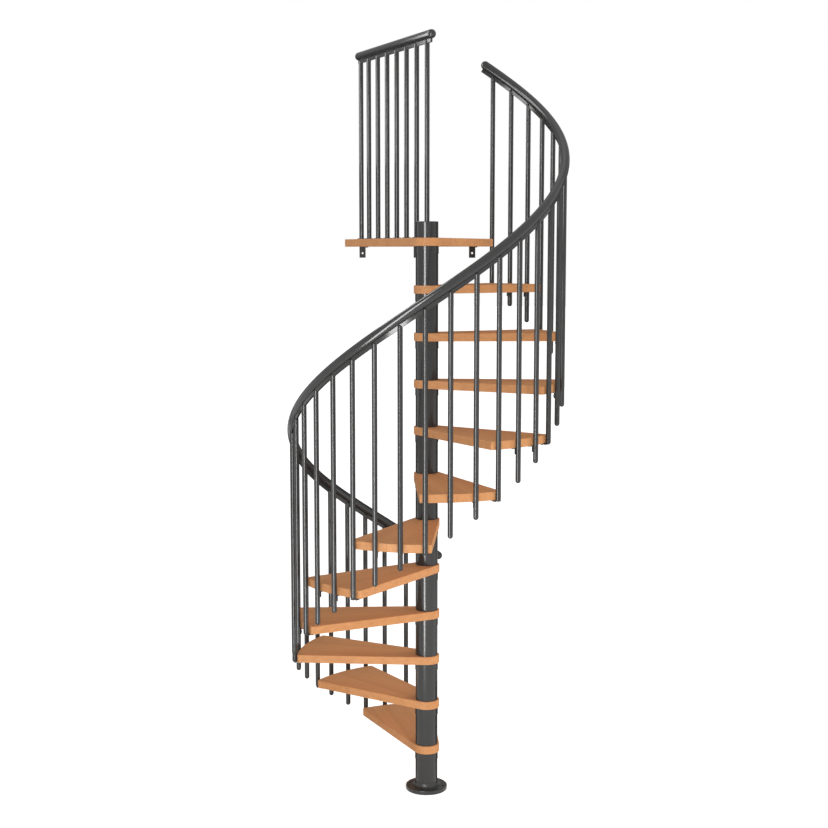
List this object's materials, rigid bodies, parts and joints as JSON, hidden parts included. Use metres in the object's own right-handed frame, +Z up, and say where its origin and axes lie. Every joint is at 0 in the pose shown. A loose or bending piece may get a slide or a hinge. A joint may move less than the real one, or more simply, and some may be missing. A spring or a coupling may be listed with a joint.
{
  "type": "spiral staircase",
  "caption": "Spiral staircase: wedge-shaped wooden treads and a landing on a central steel column, with round balusters, a helical handrail and a straight landing rail.",
  "frame": {"origin": "centre of the base flange's underside, on the floor, on the column axis", "axes": "+Z up along the column; the first long baluster stands at +Y, and the stair climbs anticlockwise seen from above"},
  "size_m": [1.2396, 1.3135, 3.397],
  "materials": {
    "beech": "satin lacquer",
    "dark_steel": "satin powder coat"
  },
  "bodies": {
    "root": {"base_flange": "dark_steel", "centre_post": "dark_steel", "spacer_tubes": "dark_steel", "spacer_collars": "dark_steel", "column_head": "dark_steel", "column_cap": "dark_steel", "tread_01": "beech", "tread_02": "beech", "tread_03": "beech", "tread_04": "beech", "tread_05": "beech", "tread_06": "beech", "tread_07": "beech", "tread_08": "beech", "tread_09": "beech", "tread_10": "beech", "tread_11": "beech", "landing": "beech", "start_baluster": "dark_steel", "start_foot": "dark_steel", "balusters_01": "dark_steel", "balusters_02": "dark_steel", "balusters_03": "dark_steel", "balusters_04": "dark_steel", "balusters_05": "dark_steel", "balusters_06": "dark_steel", "balusters_07": "dark_steel", "balusters_08": "dark_steel", "balusters_09": "dark_steel", "balusters_10": "dark_steel", "balusters_11": "dark_steel", "corner_plates": "dark_steel", "clip_brackets": "dark_steel", "handrail": "dark_steel", "handrail_bar": "dark_steel", "handrail_caps": "dark_steel", "landing_balusters": "dark_steel", "landing_rosettes": "dark_steel", "landing_handrail": "dark_steel", "landing_handrail_bar": "dark_steel", "landing_handrail_caps": "dark_steel", "wall_brackets": "dark_steel"}
  },
  "joints": []
}
